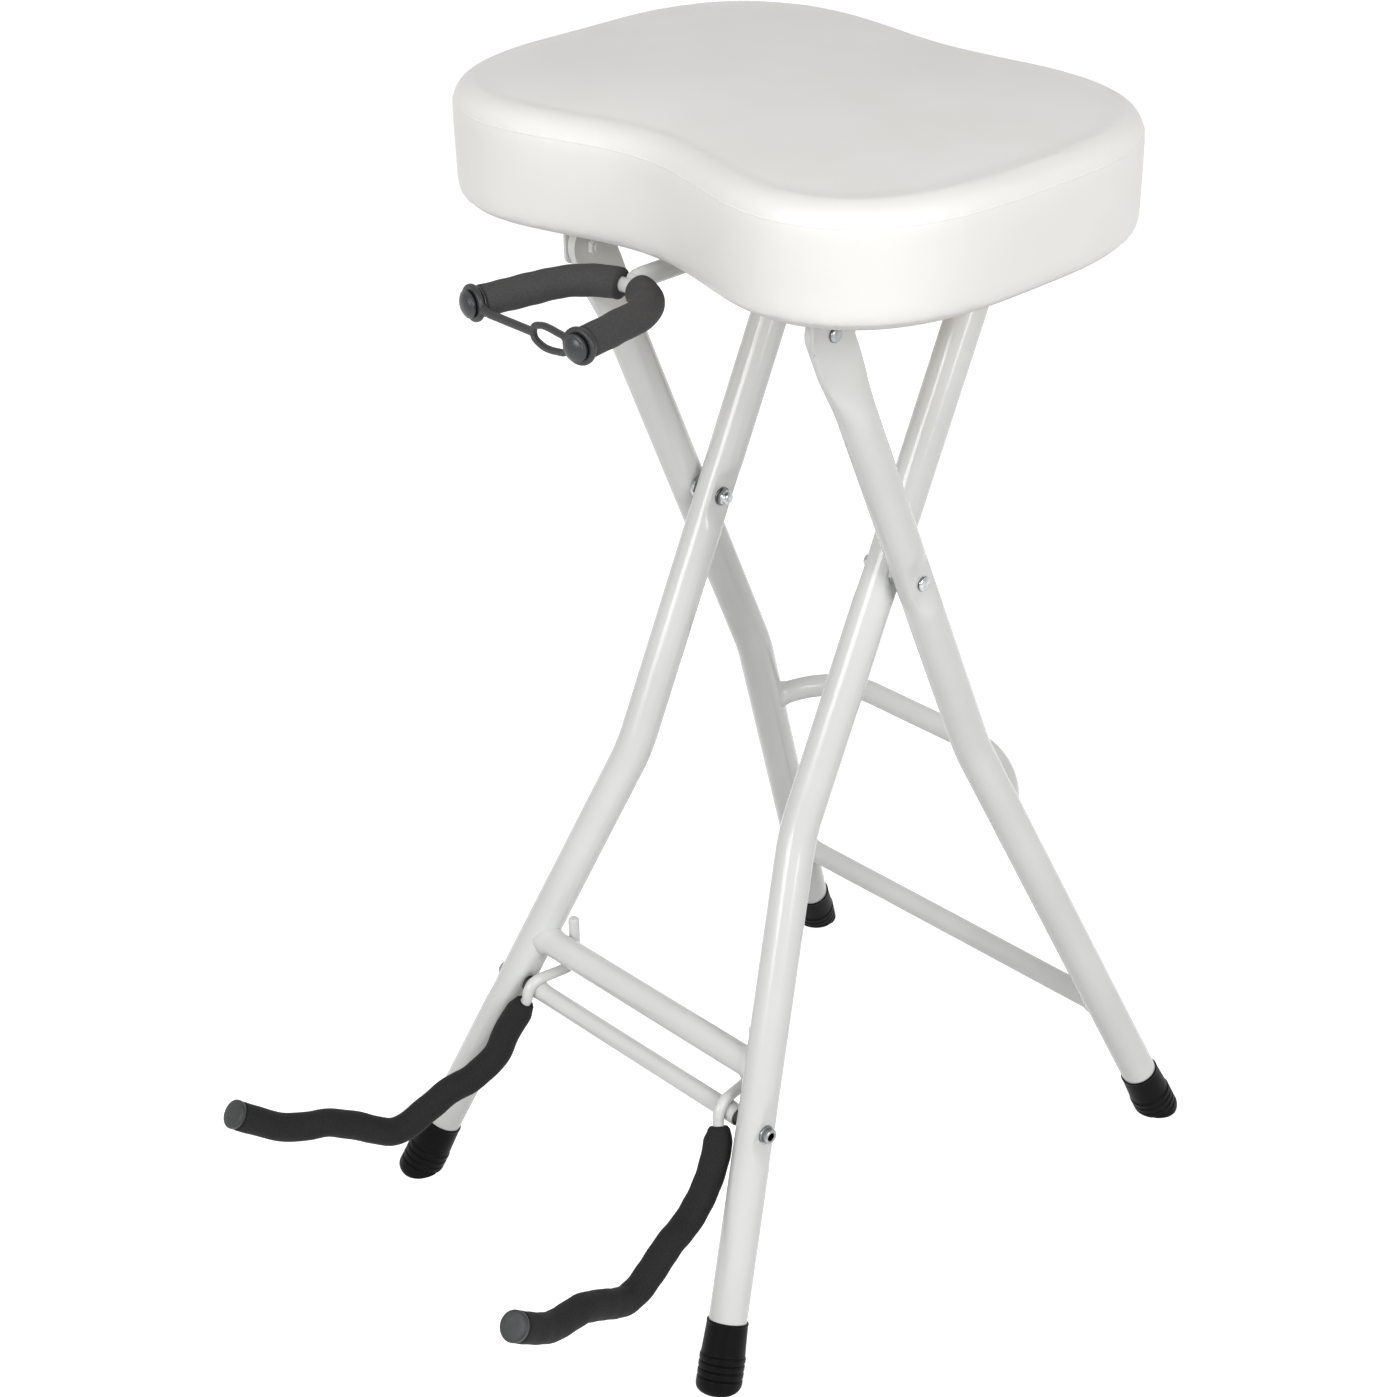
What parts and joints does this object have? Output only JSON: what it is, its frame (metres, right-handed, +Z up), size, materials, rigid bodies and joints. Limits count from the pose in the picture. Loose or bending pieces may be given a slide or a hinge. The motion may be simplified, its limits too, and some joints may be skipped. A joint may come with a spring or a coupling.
{
  "type": "folding guitar stool",
  "caption": "Folding stool with a waisted padded seat on crossed tube frames, a sliding neck hanger under the seat and a folding body cradle near the floor.",
  "frame": {"origin": "middle of the bounding box on the floor", "axes": "+Z up, +X to the sitter's right when seen from the front as the camera sees it (across the stool), -Y towards the front where the hanger and the cradle are"},
  "size_m": [0.4076, 0.5922, 0.7719],
  "materials": {
    "white_enamel": "glossy powder coat",
    "white_vinyl": "smooth white vinyl, satin",
    "seat_foam": "upholstery foam, hidden",
    "plywood": "birch plywood, bare",
    "black_rubber": "matt black rubber",
    "grip_foam": "closed cell foam, matt",
    "grey_cap": "matt grey",
    "black_cap": "satin moulded plastic",
    "strap_rubber": "satin black rubber",
    "cap_screw_steel": "zinc-plated steel",
    "zinc": "bright zinc",
    "black_nylon": "moulded nylon"
  },
  "bodies": {
    "rear_frame": {"rear_leg_left": "white_enamel", "rear_leg_right": "white_enamel", "rear_bow_brace": "white_enamel", "rear_lower_brace": "white_enamel", "rear_foot_left": "black_rubber", "rear_foot_right": "black_rubber", "pivot_bolt_left": "zinc", "pivot_bolt_right": "zinc", "pivot_nut_left": "zinc", "pivot_nut_right": "zinc", "pivot_washer_left": "zinc", "pivot_washer_right": "zinc"},
    "front_frame": {"front_u_tube": "white_enamel", "footrest_bar": "white_enamel", "front_foot_left": "black_rubber", "front_foot_right": "black_rubber", "cradle_bolt_left": "cap_screw_steel", "cradle_bolt_right": "cap_screw_steel"},
    "cradle": {"cradle_cross_tube": "white_enamel", "cradle_plug_left": "zinc", "cradle_plug_right": "zinc", "cradle_washer_left": "black_nylon", "cradle_washer_right": "black_nylon", "cradle_rod_left": "white_enamel", "cradle_rod_right": "white_enamel", "cradle_sleeve_left": "grip_foam", "cradle_sleeve_right": "grip_foam", "cradle_tip_left": "grey_cap", "cradle_tip_right": "grey_cap"},
    "seat": {"seat_cover": "white_vinyl", "seat_foam": "seat_foam", "seat_board": "plywood", "top_bar_saddle": "black_nylon", "hanger_guide_front": "black_nylon", "hanger_guide_rear": "black_nylon", "seat_bracket_left": "white_enamel", "seat_bracket_right": "white_enamel", "seat_hinge_bolt_left": "zinc", "seat_hinge_bolt_right": "zinc", "seat_hinge_nut_left": "zinc", "seat_hinge_nut_right": "zinc", "saddle_screw_left": "zinc", "saddle_screw_right": "zinc", "front_guide_screw_left": "zinc", "front_guide_screw_right": "zinc", "rear_guide_screw_left": "zinc", "rear_guide_screw_right": "zinc", "bracket_screw_left_front": "zinc", "bracket_screw_left_rear": "zinc", "bracket_screw_right_front": "zinc", "bracket_screw_right_rear": "zinc"},
    "hanger": {"hanger_arm": "white_enamel", "hanger_yoke": "white_enamel", "yoke_sleeve_left": "grip_foam", "yoke_sleeve_right": "grip_foam", "yoke_cap_left": "black_cap", "yoke_cap_right": "black_cap", "retainer_strap": "strap_rubber", "hanger_stop_pin": "zinc"}
  },
  "joints": [
    {"name": "frame_fold", "type": "hinge", "parent": "rear_frame", "child": "front_frame", "pos_m": [0, 0.08683, 0.475], "axis": [1, 0, 0], "range_deg": [0, 43.5]},
    {"name": "seat_hinge", "type": "hinge", "parent": "rear_frame", "child": "seat", "pos_m": [0, 0.00999, 0.66236], "axis": [1, 0, 0], "range_deg": [0, 107.5]},
    {"name": "cradle_fold", "type": "hinge", "parent": "front_frame", "child": "cradle", "pos_m": [0, -0.0696, 0.14555], "axis": [-1, 0, 0], "range_deg": [0, 105]},
    {"name": "hanger_slide", "type": "slide", "parent": "seat", "child": "hanger", "axis": [0, 1, 0], "range_m": [0, 0.058]}
  ],
  "couplings": [
    {"joint": "seat_hinge", "follows": "frame_fold", "ratio": 2.45}
  ]
}
